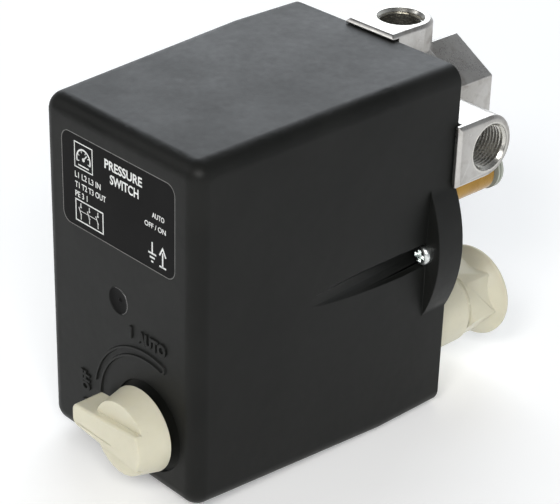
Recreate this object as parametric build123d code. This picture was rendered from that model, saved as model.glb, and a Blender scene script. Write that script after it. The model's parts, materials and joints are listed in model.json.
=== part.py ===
from build123d import *
import math
import os

# Pressure switch in millimetres.
# Model frame: X to the right, Y towards the back, Z up, seen from the selector side.
# Its origin is the middle of the cover's front face; export_node moves every
# shape so that the row's origin is the outer end of the main port's thread.

# ---------------------------------------------------------------- fits
GAP = 0.3
RUNNING = 0.05
SEATED = 0.05
CLEARANCE = 0.2
CUT_OVER = 1.0

# ---------------------------------------------------------------- cover
COVER_WIDTH = 82.5
COVER_HEIGHT = 130.0
COVER_DEPTH = 111.2
DRAFT_END = 83.0
DRAFT_DEG = 2.4
WALL = 2.8
FRONT_WALL = 3.0
CORNER_R = 6.0
FRONT_EDGE_R = 5.8

LUG_REACH = 47.3
LUG_R = 51.0
LUG_FRONT = 99.5
LUG_ROOT = 39.0
SCREW_X = 40.6
SCREW_HOLE_R = 2.2
CHANNEL_R = 4.4
CHANNEL_TILT_DEG = 3.6
CHANNEL_WALL = 1.8
RIM = 1.5
HUB_BUSH_R = 11.0
HUB_BUSH_END = 9.0

LABEL_W = 56.0
LABEL_H = 33.0
LABEL_Z = 36.0
LABEL_CORNER = 3.9
LABEL_RECESS = 0.5
LABEL_THICK = 0.4
DIMPLE_R = 4.7
DIMPLE_Z = 1.0
DIMPLE_DEPTH = 0.8
KNOB_RECESS_R = 16.0
KNOB_RECESS_DEPTH = 1.2

# ---------------------------------------------------------------- selector
KNOB_X = 14.4
KNOB_Z = -39.3
KNOB_BACK = -2.6
KNOB_FACE = -11.6
KNOB_FRONT = -14.0
KNOB_BACK_R = 15.0
KNOB_FRONT_R = 12.4
KNOB_EDGE_R = 0.9
GRIP_TIP = -22.1
GRIP_END = 14.0
GRIP_TIP_HALF = 3.9
GRIP_END_HALF = 7.1
GRIP_TIP_R = 2.6
GROOVE_SPAN = (-19.2, -1.7)
GROOVE_Z = -2.6
GROOVE_HALF = 0.25
GROOVE_DEPTH = 0.3
HUB_R = 8.0
HUB_END = 10.8
CLIP_START = 9.2
CLIP_GROOVE_W = 1.0
CLIP_GROOVE_DEPTH = 1.0
CLIP_REACH = 2.5
CLIP_OPENING = 8.0
SHAFT_R = 2.5
SHAFT_END = 65.0
CAM_R = 9.0
CAM_BACK = 58.0
CAM_THICK = 5.0
CAM_LIFT = 2.0
CAM_HUB_WALL = 1.5

# ---------------------------------------------------------------- base plate
BASE_THICK = 2.5
BASE_BACK = COVER_DEPTH
BASE_FRONT = BASE_BACK - BASE_THICK
BASE_INSET = RIM + GAP
GASKET_THICK = 0.6
GASKET_W = 1.7
LEDGE = BASE_FRONT - GASKET_THICK
EARTH_SPOT = (-28.0, -4.0)

# ---------------------------------------------------------------- pressure flange
PORT_Z = 32.6
SIDE_PORT_Z = 33.3
ARM_Y = 124.9
ARM_R = 11.2
ARM_FRONT = 112.3
HEAD_FRONT = 109.4
ARM_EDGE = 1.1
ARM_LEAD = 0.15
SIDE_FACE = 44.1
TOP_FACE = 67.0
BOSS_R = 26.4
BOSS_BACK = 130.0
BOSS_EDGE = 0.8
HEX_AF = 36.0
HEX_EDGE = 0.4
MAIN_MOUTH = 155.0
G_HALF_R = 10.478
G_THREE_EIGHTHS_R = 8.331
MAIN_THREAD = 15.0
ARM_THREAD = 12.0
MOUTH_CHAMFER = 0.7
PASSAGE_R = 4.5
CHAMBER_R = 16.0
CHAMBER_BACK = 119.5
DIAPHRAGM_R = 21.0
DIAPHRAGM_THICK = 1.2
FLANGE_SCREW_R = 23.4
FLANGE_SCREW_DEG = 61.0
FLANGE_SCREW_REACH = 6.5

# ---------------------------------------------------------------- cable glands
GLAND_X = 23.4
GLAND_Z = -38.5
GLAND_BODY_R = 14.2
GLAND_BODY_END = 130.0
GLAND_BODY_EDGE = 0.8
GLAND_NECK_R = 10.0
GLAND_NECK_START = 102.3
GLAND_SPIGOT = 5.0
GLAND_SEAL_START = 126.0
GLAND_HEX_AF = 25.2
GLAND_NUT_NECK = 2.1
GLAND_HEX_END = 143.8
GLAND_END = 147.5
GLAND_FLARE_R = 17.2
GLAND_LIP = 1.2
GLAND_THROAT = 9.0
GLAND_TURN_DEG = 20.0
LOCKNUT_AF = 25.0
LOCKNUT_THICK = 5.0
CABLE_R = 5.5
CABLE_WAY_R = CABLE_R + 1.2
SEAL_R = CABLE_R + 1.95
SPIGOT_R = CABLE_R + 3.3

# ---------------------------------------------------------------- relief valve
RELIEF_X = 24.4
RELIEF_Z = 12.4
RELIEF_R = 7.6
RELIEF_BODY_END = 143.8
RELIEF_EDGE = 0.5
RELIEF_NECK_R = 5.0
RELIEF_NECK_START = 100.0
RELIEF_NUT_AF = 13.0
VALVE_SEAT_Y = 124.0
VALVE_ROOM_R = 4.2
TUBE_SOCKET_Y = 137.2
TUBE_SOCKET_R = 4.6
TUBE_STOP_THICK = 1.5
VENT_R = 1.2
VENT_Y = 126.0
STEM_R = 1.5
PLUNGER_HEAD_R = 3.5
PLUNGER_START = 128.0
PLUNGER_THICK = 2.5
COLLAR_FRONT = 145.2
COLLAR_END = 148.2
COLLAR_R = 8.1
COLLAR_EDGE_R = 0.7
COLLAR_SLEEVE = 5.0
COLLAR_GROOVE = (COLLAR_FRONT + 0.9, COLLAR_FRONT + 1.5)
COLLAR_GROOVE_DEPTH = 0.7
TUBE_R = 3.1

# ---------------------------------------------------------------- mechanism
PISTON_R = 14.0
PISTON_THICK = 5.6
PISTON_STEM_R = 4.0
PISTON_NOSE_R = 1.5
PISTON_NOSE = 2.0
PISTON_TRAVEL = 2.0
PIVOT_Y = 98.8
PIVOT_Z = 8.0
PIVOT_R = 2.0
LINK_Z = -22.0
LINK_R = 1.5
LINK_HALF = 9.0
LEVER_FRONT = 97.3
LEVER_BACK = 100.3
LEVER_LEFT = -15.3
LEVER_RIGHT = 14.7
LEVER_TOP = 44.0
LEVER_EAR = (29.4, 24.0, 42.0)
LEVER_NECK_HALF = 6.0
BARREL_R = 4.0
FORK_HALF = 5.0
FORK_END = LINK_Z - 4.5
FORK_SLOT_TOP = LINK_Z + 2.5
SPRING_BOSS = 2.0
CARRIER_TRAVEL = PISTON_TRAVEL * (PIVOT_Z - LINK_Z) / (PORT_Z - PIVOT_Z)

FRAME_FRONT = 30.3
FRAME_THICK = 2.0
FRAME_BACK = FRAME_FRONT + FRAME_THICK
FRAME_LEFT = -18.0
FRAME_RIGHT = 32.0
FRAME_BAND = (20.0, 46.0)
FRAME_FOOT_LEFT = -25.0
FRAME_FOOT_RIGHT = 37.0
CHEEK_LEFT = 15.2
CHEEK_RIGHT = CHEEK_LEFT + FRAME_THICK
CHEEK_FRONT = 92.0
CHEEK_BAND = (2.0, 16.0)
DIFF_X = 21.0
SEAT_FRONT = 48.0
SEAT_THICK = 5.0
SEAT_BACK = SEAT_FRONT + SEAT_THICK
SEAT_PILOT = 3.0
SPRING_TURNS = 8
SETTING_HEAD = 4.0
SETTING_SLOT_DEPTH = 1.3
SETTING_SLOT_HALF = 0.6
SETTING_SCREW_END = 72.0

# ---------------------------------------------------------------- contacts
POLES = (-20.0, 0.0, 20.0)
POLE_Z = -39.5
BLOCK_FRONT = 62.0
BLOCK_BACK = 98.0
BLOCK_HALF_W = 33.0
BLOCK_TOP = -18.0
BLOCK_BOTTOM = -61.0
BAY_FLOOR = 66.0
BAY_HALF = 5.5
BAY_BAND = (-52.0, -27.0)
BAR_ROOM_FRONT = 83.0
BAR_ROOM_HALF = 27.8
BAR_ROOM_BAND = (-44.2, -34.8)
YOKE_ROOM_HALF = 9.8
RELIEF_ARM_ROOM = 21.4
BLOCK_POST_R = 3.4
TAB_FRONT = 60.4
TAB_HALF = 4.3
TAB_END = 20.0
LEG_BAND = (10.9, 12.1)
TERMINAL_SCREW_UP = 16.0
TERMINAL_SCREW_REACH = 11.0
CONTACT_FACE = 76.0
CONTACT_UP = 8.0
BUTTON_R = 2.0
BUTTON_THICK = 0.8
STRAP_THICK = 1.2
STRAP_W = 8.0
STRAP_H = 20.0
BRIDGE_FRONT = CONTACT_FACE + BUTTON_THICK + GAP + CARRIER_TRAVEL
BRIDGE_BACK = BRIDGE_FRONT + BUTTON_THICK + STRAP_THICK
BAR_FRONT = 86.0
BAR_BACK = 92.0
BAR_HALF_W = 27.0
BAR_HALF_H = 4.0
BRIDGE_PIN_R = 1.5
YOKE_INNER = 6.5
YOKE_OUTER = 9.0
YOKE_TOP = -17.0
YOKE_BACK = 102.5
RELIEF_ARM = (22.0, 26.8)
PUSH_X = 8.6
PUSH_R = 1.6

# ---------------------------------------------------------------- screws
# Each is its head radius, head height and shank radius.
M4_PAN = (3.6, 2.6, 2.0)
M3_8_PAN = (3.4, 2.4, 1.9)
M3_2_PAN = (3.0, 2.2, 1.6)
M3_PAN = (2.4, 1.8, 1.5)

os.makedirs("parts", exist_ok=True)


def export_node(shape, name):
    """Write one node, moved so that the main port's thread starts at the origin."""
    export_step(Pos(0, MOUTH_CHAMFER - MAIN_MOUTH, -PORT_Z) * shape, f"parts/{name}.step")


# ---------------------------------------------------------------- shapes
def rod(radius, start, stop, x=0.0, z=0.0):
    """Cylinder along Y."""
    return Pos(x, (start + stop) / 2, z) * Rot(X=-90) * Cylinder(radius, stop - start)


def ring(outer_r, inner_r, start, stop, x=0.0, z=0.0):
    """Tube along Y."""
    return rod(outer_r, start, stop, x, z) - rod(inner_r, start, stop, x, z)


def taper(start_r, stop_r, start, stop, x=0.0, z=0.0):
    """Cone along Y, with its radii at start and stop."""
    return Pos(x, (start + stop) / 2, z) * Rot(X=-90) * Cone(start_r, stop_r, stop - start)


def cross_rod(radius, start, stop, y, z):
    """Cylinder along X."""
    return Pos((start + stop) / 2, y, z) * Rot(Y=90) * Cylinder(radius, stop - start)


def upright_rod(radius, start, stop, x, y):
    """Cylinder along Z."""
    return Pos(x, y, (start + stop) / 2) * Cylinder(radius, stop - start)


def block(x, y, z):
    """Box from three pairs of limits, each in either order."""
    size = [abs(second - first) for first, second in (x, y, z)]
    middle = [(first + second) / 2 for first, second in (x, y, z)]
    return Pos(*middle) * Box(*size)


def around(middle, half):
    """Limits that lie evenly about a middle."""
    return middle - half, middle + half


def slab(sketch, start, stop):
    """Extrude an X-Z sketch between two Y values."""
    plane = Plane((0, stop, 0), x_dir=(1, 0, 0), z_dir=(0, -1, 0))
    return extrude(plane * sketch, amount=stop - start)


def hexagon(across_flats, start, stop, x=0.0, z=0.0, turn=0.0):
    """Hexagonal prism along Y; with no turn its corners point up and down."""
    sketch = RegularPolygon(across_flats / math.sqrt(3), 6, rotation=30 + turn)
    return slab(Pos(x, z) * sketch, start, stop)


def coil(radius, wire, start, stop, turns, x=0.0, z=0.0):
    """Compression spring along Y, as one swept wire."""
    length = stop - start - 2 * wire
    path = Helix(length / turns, length, radius)
    section = Plane(path @ 0, z_dir=path % 0) * Circle(wire)
    return Pos(x, start + wire, z) * Rot(X=-90) * sweep(section, path=path)


def pan_screw(size, seat, tip, x, z):
    """Screw along Y with its cross-recessed head in front of the seat."""
    head_r, head_h, shank_r = size
    head = rod(head_r, seat - head_h, seat, x, z)
    rim = head.edges().group_by(Axis.Y)[0]
    head = fillet(rim, head_h * 0.6)
    slot = 0.22 * head_r
    reach = 0.62 * head_r
    deep = (seat - head_h, seat - head_h * 0.35)
    cross = block(around(x, reach), deep, around(z, slot))
    cross += block(around(x, slot), deep, around(z, reach))
    return head - cross + rod(shank_r, seat, tip, x, z)


# ---------------------------------------------------------------- cover
def box_outline(inset):
    """The cover's rear outline, moved in by an inset."""
    return RectangleRounded(COVER_WIDTH - 2 * inset, COVER_HEIGHT - 2 * inset, CORNER_R - inset)


def tapered_shell(inset, start, stop):
    """Rounded box that widens to the end of its draft and then runs straight."""
    wide = COVER_WIDTH - 2 * inset
    tall = COVER_HEIGHT - 2 * inset
    corner = CORNER_R - inset
    shrink = 2 * (DRAFT_END - start) * math.tan(math.radians(DRAFT_DEG))

    def section(y, less):
        plane = Plane((0, y, 0), x_dir=(1, 0, 0), z_dir=(0, -1, 0))
        return plane * RectangleRounded(wide - less, tall - less, corner)

    front = loft([section(start, shrink), section(DRAFT_END, 0.0)], ruled=True)
    return front + slab(box_outline(inset), DRAFT_END, stop)


def lug_outline(inset):
    """Both screw lugs as one X-Z sketch, each bounded by an arc."""
    ears = Sketch()
    for side in (-1, 1):
        arc = Pos(side * (LUG_REACH - inset - LUG_R), 0) * Circle(LUG_R)
        ears += arc & Pos(side * (LUG_ROOT + LUG_R / 2), 0) * Rectangle(LUG_R, COVER_HEIGHT / 2)
    return ears


def screw_channel(extra):
    """Driver channels that lead to the two cover screws and fade out towards the front."""
    channels = Part()
    for side in (-1, 1):
        axis = Pos(side * SCREW_X, LUG_FRONT, 0) * Rot(Z=side * CHANNEL_TILT_DEG)
        channels += axis * rod(CHANNEL_R + extra, -LUG_FRONT, CUT_OVER)
    return channels & block(around(0, COVER_WIDTH), (0, LUG_FRONT), around(0, COVER_HEIGHT))


def make_cover():
    outer = tapered_shell(0.0, 0.0, COVER_DEPTH)
    outer = fillet(outer.edges().group_by(Axis.Y)[0], FRONT_EDGE_R)
    cavity = tapered_shell(WALL, FRONT_WALL, COVER_DEPTH)
    cavity = fillet(cavity.edges().group_by(Axis.Y)[0], FRONT_EDGE_R - WALL)
    cover = outer - cavity
    cover += screw_channel(CHANNEL_WALL) & outer
    cover += slab(lug_outline(0.0), LUG_FRONT, COVER_DEPTH)
    cover -= screw_channel(0.0)
    cover -= slab(box_outline(RIM) + lug_outline(RIM), LEDGE, COVER_DEPTH)
    for side in (-1, 1):
        cover -= rod(SCREW_HOLE_R, LUG_FRONT, LEDGE, side * SCREW_X, 0)
    cover += rod(HUB_BUSH_R, FRONT_WALL, HUB_BUSH_END, KNOB_X, KNOB_Z)
    cover -= rod(HUB_R + RUNNING, 0, HUB_BUSH_END, KNOB_X, KNOB_Z)
    cover -= rod(KNOB_RECESS_R, 0, KNOB_RECESS_DEPTH, KNOB_X, KNOB_Z)
    label = Pos(0, LABEL_Z) * RectangleRounded(LABEL_W, LABEL_H, LABEL_CORNER)
    cover -= slab(label, 0, LABEL_RECESS)
    return cover - rod(DIMPLE_R, 0, DIMPLE_DEPTH, 0, DIMPLE_Z)


def make_label():
    outline = RectangleRounded(LABEL_W - 2 * GAP, LABEL_H - 2 * GAP, LABEL_CORNER - GAP)
    return slab(Pos(0, LABEL_Z) * outline, LABEL_RECESS - LABEL_THICK, LABEL_RECESS)


# ---------------------------------------------------------------- selector
def grip_sketch():
    """Wedge-shaped grip bar with a rounded pointer tip, about the knob's axis."""
    wedge = Polygon(
        (GRIP_TIP, -GRIP_TIP_HALF), (GRIP_END, -GRIP_END_HALF),
        (GRIP_END, GRIP_END_HALF), (GRIP_TIP, GRIP_TIP_HALF), align=None)
    return fillet(wedge.vertices().group_by(Axis.X)[0], GRIP_TIP_R)


def make_knob():
    grip = Pos(KNOB_X, KNOB_Z) * grip_sketch()
    cone = taper(KNOB_FRONT_R, KNOB_BACK_R, KNOB_FRONT, KNOB_BACK, KNOB_X, KNOB_Z)
    recess = rod(2 * KNOB_BACK_R, KNOB_FRONT, KNOB_FACE, KNOB_X, KNOB_Z)
    recess -= slab(grip, KNOB_FRONT, KNOB_FACE)
    tip_side = block((KNOB_X - 2 * KNOB_BACK_R, KNOB_X), (KNOB_FRONT, KNOB_BACK), (2 * KNOB_Z, 0))
    body = cone - recess + (slab(grip, KNOB_FRONT, KNOB_BACK) & tip_side)
    body = fillet(body.edges().group_by(Axis.Y)[0], KNOB_EDGE_R)
    groove = [KNOB_X + end for end in GROOVE_SPAN]
    body -= block(groove, (KNOB_FRONT, KNOB_FRONT + GROOVE_DEPTH), around(KNOB_Z + GROOVE_Z, GROOVE_HALF))
    hub = rod(HUB_R, KNOB_BACK, HUB_END, KNOB_X, KNOB_Z)
    hub -= ring(HUB_R, HUB_R - CLIP_GROOVE_DEPTH, CLIP_START, CLIP_START + CLIP_GROOVE_W, KNOB_X, KNOB_Z)
    return body + hub - rod(SHAFT_R, 0, HUB_END, KNOB_X, KNOB_Z)


def make_knob_clip():
    """Open spring ring that sits in the hub's groove, behind the cover's bush."""
    start = CLIP_START + CLEARANCE / 2
    stop = CLIP_START + CLIP_GROOVE_W - CLEARANCE / 2
    inner_r = HUB_R - CLIP_GROOVE_DEPTH + CLEARANCE / 2
    clip = ring(HUB_R + CLIP_REACH, inner_r, start, stop, KNOB_X, KNOB_Z)
    return clip - block(around(KNOB_X, CLIP_OPENING / 2), (start, stop), (KNOB_Z - 2 * HUB_R, KNOB_Z))


def make_cam():
    front = CAM_BACK - CAM_THICK
    disc = rod(CAM_R, front, CAM_BACK - CAM_LIFT, KNOB_X, KNOB_Z)
    quarter = block((KNOB_X - CAM_R, KNOB_X), (front, CAM_BACK), (KNOB_Z, KNOB_Z + CAM_R))
    lobe = rod(CAM_R, front, CAM_BACK, KNOB_X, KNOB_Z) & quarter
    hub = rod(SHAFT_R + CAM_HUB_WALL, front, CAM_BACK, KNOB_X, KNOB_Z)
    return disc + lobe + hub - rod(SHAFT_R, front, CAM_BACK, KNOB_X, KNOB_Z)


# ---------------------------------------------------------------- base plate
def base_outline():
    return box_outline(BASE_INSET) + lug_outline(BASE_INSET)


def flange_screw_spots():
    """The flange's four screws, on a circle about the main port."""
    across = FLANGE_SCREW_R * math.cos(math.radians(FLANGE_SCREW_DEG))
    along = FLANGE_SCREW_R * math.sin(math.radians(FLANGE_SCREW_DEG))
    for x in (-across, across):
        for z in (PORT_Z - along, PORT_Z + along):
            yield x, z


def block_screw_spots():
    """The contact block's four screws, one at each corner."""
    for x in (-29.0, 29.0):
        for z in (BLOCK_TOP - 2.5, BLOCK_BOTTOM + 3.5):
            yield x, z


def frame_screw_spots():
    """Two screws in the frame's left foot and one in its right foot."""
    return (-21.5, 40.0), (-21.5, 26.0), (34.6, 33.0)


def make_base():
    def hole(radius, x, z):
        return rod(radius, BASE_FRONT, BASE_BACK, x, z)

    base = slab(base_outline(), BASE_FRONT, BASE_BACK)
    base -= hole(PISTON_R + RUNNING, 0, PORT_Z)
    base -= hole(RELIEF_NECK_R + RUNNING, RELIEF_X, RELIEF_Z)
    for side in (-1, 1):
        base -= hole(GLAND_NECK_R + RUNNING, side * GLAND_X, GLAND_Z)
        base -= hole(M4_PAN[2] + 0.02, side * SCREW_X, 0)
    for x, z in flange_screw_spots():
        base -= hole(M3_8_PAN[2] + GAP, x, z)
    for x, z in block_screw_spots():
        base -= hole(M3_2_PAN[2] + RUNNING, x, z)
    for x, z in frame_screw_spots():
        base -= hole(M3_PAN[2] + RUNNING, x, z)
    return base - hole(M4_PAN[2] + 0.02, *EARTH_SPOT)


def make_gasket():
    strip = base_outline() - box_outline(BASE_INSET + GASKET_W)
    gasket = slab(strip, LEDGE, BASE_FRONT)
    for side in (-1, 1):
        gasket -= rod(SCREW_HOLE_R + CLEARANCE, LEDGE, BASE_FRONT, side * SCREW_X, 0)
    return gasket


# ---------------------------------------------------------------- pressure flange
def arm(direction, axis_z, neck, reach):
    """One port arm with flat sides and a rounded back; its head overhangs the cover's rim."""
    plane = Plane((0, ARM_Y, axis_z), x_dir=(0, 1, 0), z_dir=direction)

    def bar(front, length):
        flat = Rectangle(ARM_Y - front, 2 * ARM_R, align=(Align.MAX, Align.CENTER))
        return extrude(plane * (flat + Circle(ARM_R)), amount=length)

    body = bar(ARM_FRONT, reach) + (bar(HEAD_FRONT, reach) - bar(HEAD_FRONT, neck))
    return chamfer(body.faces().sort_by(Axis((0, 0, 0), direction))[-1].edges(), ARM_EDGE)


def port_hole(radius, mouth, thread, chamfer_w):
    """Threaded hole along +Z from its mouth down, with a lead-in and a drill point."""
    depth = thread + chamfer_w
    hole = Pos(0, 0, mouth - depth / 2) * Cylinder(radius, depth)
    lead = Pos(0, 0, mouth - chamfer_w / 2) * Cone(radius, radius + chamfer_w, chamfer_w)
    tip = Pos(0, 0, mouth - depth - radius / 4) * Cone(radius / 2, radius, radius / 2)
    return hole + lead + tip


def make_flange():
    flange = rod(BOSS_R, BASE_BACK, BOSS_BACK, 0, PORT_Z)
    flange = chamfer(flange.edges().group_by(Axis.Y)[-1], BOSS_EDGE)
    prism = hexagon(HEX_AF, BASE_BACK, MAIN_MOUTH, 0, PORT_Z)
    flange += chamfer(prism.edges().group_by(Axis.Y)[-1], HEX_EDGE)
    for side in (-1, 1):
        flange += arm((side, 0, 0), SIDE_PORT_Z, COVER_WIDTH / 2 + GAP, SIDE_FACE)
    flange += arm((0, 0, 1), PORT_Z, COVER_HEIGHT / 2 + GAP - PORT_Z, TOP_FACE - PORT_Z)
    flange -= slab(lug_outline(-GAP), HEAD_FRONT, BASE_BACK)
    side_hole = port_hole(G_THREE_EIGHTHS_R, SIDE_FACE, ARM_THREAD, ARM_LEAD)
    for turn in (-90, 90):
        flange -= Pos(0, ARM_Y, SIDE_PORT_Z) * Rot(Y=turn) * side_hole
    flange -= Pos(0, ARM_Y, 0) * port_hole(G_THREE_EIGHTHS_R, TOP_FACE, ARM_THREAD, ARM_LEAD)
    flange -= Pos(0, 0, PORT_Z) * Rot(X=-90) * port_hole(G_HALF_R, MAIN_MOUTH, MAIN_THREAD, MOUTH_CHAMFER)
    flange -= cross_rod(PASSAGE_R, ARM_THREAD - SIDE_FACE, SIDE_FACE - ARM_THREAD, ARM_Y, SIDE_PORT_Z)
    flange -= upright_rod(PASSAGE_R, PORT_Z, TOP_FACE - ARM_THREAD, 0, ARM_Y)
    flange -= rod(PASSAGE_R + 2, CHAMBER_BACK, MAIN_MOUTH - MAIN_THREAD, 0, PORT_Z)
    flange -= rod(CHAMBER_R, BASE_BACK, CHAMBER_BACK, 0, PORT_Z)
    flange -= rod(DIAPHRAGM_R + 0.1, BASE_BACK, BASE_BACK + DIAPHRAGM_THICK, 0, PORT_Z)
    flange -= rod(RELIEF_R + 2 * GAP, BASE_BACK, BOSS_BACK, RELIEF_X, RELIEF_Z)
    for x, z in flange_screw_spots():
        flange -= rod(M3_8_PAN[2] + RUNNING, BASE_BACK, BASE_BACK + FLANGE_SCREW_REACH + CUT_OVER, x, z)
    return flange


# ---------------------------------------------------------------- cable glands
def make_gland_nut(x, turn):
    """Compression nut: hexagon that opens out into a trumpet mouth."""
    seat = GLAND_BODY_END + GAP
    core_r = GLAND_HEX_AF / 2
    root = (core_r - 1.6, GLAND_HEX_END - 6)
    waist = (core_r + 1.2, GLAND_HEX_END - 0.5)
    lip = (GLAND_FLARE_R, GLAND_END - GLAND_LIP)
    outer = rod(core_r, seat, seat + GLAND_NUT_NECK, x, GLAND_Z)
    outer += hexagon(GLAND_HEX_AF, seat + GLAND_NUT_NECK, GLAND_HEX_END, x, GLAND_Z, turn)
    start = Polyline((0, root[1]), root)
    curve = Spline(root, waist, lip, tangents=((0.12, 1), (1, 0.62)))
    finish = Polyline(lip, (GLAND_FLARE_R - CLEARANCE, GLAND_END), (0, GLAND_END), (0, root[1]))
    outer += Pos(x, 0, GLAND_Z) * revolve(make_face(start + curve + finish), Axis.Y)
    nut = outer - rod(SPIGOT_R + 0.1, seat, GLAND_BODY_END + GLAND_SPIGOT + CLEARANCE, x, GLAND_Z)
    nut -= rod(CABLE_WAY_R, seat, GLAND_END, x, GLAND_Z)
    return nut - taper(CABLE_WAY_R, GLAND_FLARE_R - 2.2, GLAND_END - GLAND_THROAT, GLAND_END, x, GLAND_Z)


def make_gland(side):
    """Body, rubber seal, nut and lock nut of one cable gland."""
    x = side * GLAND_X
    name = "right" if side > 0 else "left"
    spigot_end = GLAND_BODY_END + GLAND_SPIGOT
    body = rod(GLAND_BODY_R, BASE_BACK, GLAND_BODY_END, x, GLAND_Z)
    body = chamfer(body.edges().group_by(Axis.Y)[-1], GLAND_BODY_EDGE)
    body += rod(GLAND_NECK_R, GLAND_NECK_START, BASE_BACK, x, GLAND_Z)
    body += rod(SPIGOT_R, GLAND_BODY_END, spigot_end, x, GLAND_Z)
    body -= rod(CABLE_WAY_R, GLAND_NECK_START, GLAND_SEAL_START, x, GLAND_Z)
    body -= rod(SEAL_R + RUNNING, GLAND_SEAL_START, spigot_end, x, GLAND_Z)
    export_node(body, f"gland_body_{name}")
    seal = ring(SEAL_R, CABLE_R, GLAND_SEAL_START + SEATED, spigot_end - 2 * SEATED, x, GLAND_Z)
    export_node(seal, f"gland_seal_{name}")
    export_node(make_gland_nut(x, side * GLAND_TURN_DEG), f"gland_nut_{name}")
    nut_front = BASE_FRONT - LOCKNUT_THICK
    nut_back = BASE_FRONT - SEATED
    nut = hexagon(LOCKNUT_AF, nut_front, nut_back, x, GLAND_Z)
    nut -= rod(GLAND_NECK_R + RUNNING, nut_front, nut_back, x, GLAND_Z)
    export_node(nut, f"gland_locknut_{name}")


# ---------------------------------------------------------------- relief valve
def make_relief_valve():
    spot = (RELIEF_X, RELIEF_Z)
    body = rod(RELIEF_R, BASE_BACK, RELIEF_BODY_END, *spot)
    body = chamfer(body.edges().group_by(Axis.Y)[-1], RELIEF_EDGE)
    body += rod(RELIEF_NECK_R, RELIEF_NECK_START, BASE_BACK, *spot)
    body -= rod(STEM_R + RUNNING, RELIEF_NECK_START, VALVE_SEAT_Y, *spot)
    body -= rod(VALVE_ROOM_R, VALVE_SEAT_Y, TUBE_SOCKET_Y, *spot)
    body -= rod(TUBE_SOCKET_R, TUBE_SOCKET_Y, RELIEF_BODY_END, *spot)
    body -= upright_rod(VENT_R, RELIEF_Z - RELIEF_R, RELIEF_Z, RELIEF_X, VENT_Y)
    export_node(body, "relief_valve_body")

    nut_front = BASE_FRONT - LOCKNUT_THICK
    nut_back = BASE_FRONT - SEATED
    nut = hexagon(RELIEF_NUT_AF, nut_front, nut_back, *spot)
    export_node(nut - rod(RELIEF_NECK_R + RUNNING, nut_front, nut_back, *spot), "relief_valve_locknut")

    stop_front = TUBE_SOCKET_Y + SEATED
    stop = ring(TUBE_SOCKET_R - SEATED, 2.0, stop_front, TUBE_SOCKET_Y + TUBE_STOP_THICK, *spot)
    export_node(stop, "relief_tube_stop")

    sleeve_front = COLLAR_FRONT - COLLAR_SLEEVE
    collar = rod(COLLAR_R, COLLAR_FRONT, COLLAR_END, *spot)
    collar = fillet(collar.edges().group_by(Axis.Y)[-1], COLLAR_EDGE_R)
    collar -= ring(COLLAR_R, COLLAR_R - COLLAR_GROOVE_DEPTH, *COLLAR_GROOVE, *spot)
    collar += rod(TUBE_SOCKET_R - 0.08, sleeve_front, COLLAR_FRONT, *spot)
    export_node(collar - rod(TUBE_R, sleeve_front, COLLAR_END, *spot), "relief_release_collar")

    foot_end = BAR_BACK + 0.8
    plunger = rod(2 * STEM_R, foot_end - PLUNGER_THICK, foot_end, *spot)
    plunger += rod(STEM_R, foot_end, PLUNGER_START, *spot)
    plunger += rod(PLUNGER_HEAD_R, PLUNGER_START, PLUNGER_START + PLUNGER_THICK, *spot)
    export_node(plunger, "relief_plunger")
    spring_start = PLUNGER_START + PLUNGER_THICK + 2 * SEATED
    export_node(coil(3.0, 0.35, spring_start, TUBE_SOCKET_Y - 2 * SEATED, 5, *spot), "relief_spring")


# ---------------------------------------------------------------- mechanism
def make_frame():
    """Bent steel frame that carries the springs, their screws and the lever's pivot."""
    foot = (BASE_FRONT - FRAME_THICK, BASE_FRONT)
    left_wall = (FRAME_LEFT, FRAME_LEFT + FRAME_THICK)
    right_wall = (FRAME_RIGHT - FRAME_THICK, FRAME_RIGHT)
    low, high = FRAME_BAND
    frame = block((FRAME_LEFT, FRAME_RIGHT), (FRAME_FRONT, FRAME_BACK), FRAME_BAND)
    frame += block(left_wall, (FRAME_BACK, BASE_FRONT), FRAME_BAND)
    frame += block(right_wall, (FRAME_BACK, BASE_FRONT), (low + 1, high))
    frame += block((FRAME_FOOT_LEFT, FRAME_LEFT), foot, FRAME_BAND)
    frame += block((FRAME_RIGHT, FRAME_FOOT_RIGHT), foot, (low + 4, high - 4))
    frame += block(left_wall, (CHEEK_FRONT, BASE_FRONT), (CHEEK_BAND[0], low))
    frame += block((CHEEK_LEFT, CHEEK_RIGHT), (CHEEK_FRONT, BASE_FRONT), CHEEK_BAND)
    frame += block((FRAME_LEFT, CHEEK_RIGHT), foot, (CHEEK_BAND[0], CHEEK_BAND[0] + 3))
    frame -= cross_rod(PIVOT_R + 0.02, FRAME_LEFT, CHEEK_RIGHT, PIVOT_Y, PIVOT_Z)
    frame -= rod(4.0 + RUNNING, FRAME_FRONT, FRAME_BACK, 0, PORT_Z)
    frame -= rod(2.5 + RUNNING, FRAME_FRONT, FRAME_BACK, DIFF_X, PORT_Z)
    for x, z in frame_screw_spots():
        frame -= rod(M3_PAN[2] + CLEARANCE, *foot, x, z)
    return frame


def make_piston():
    """Pressure plate with a blunt nose that bears on the lever."""
    nose = LEVER_BACK + GAP
    plate_back = BASE_BACK - GAP
    plate_front = plate_back - PISTON_THICK
    piston = rod(PISTON_R, plate_front, plate_back, 0, PORT_Z)
    piston += rod(PISTON_STEM_R, nose + PISTON_NOSE, plate_front, 0, PORT_Z)
    return piston + taper(PISTON_NOSE_R, PISTON_STEM_R, nose, nose + PISTON_NOSE, 0, PORT_Z)


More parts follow.
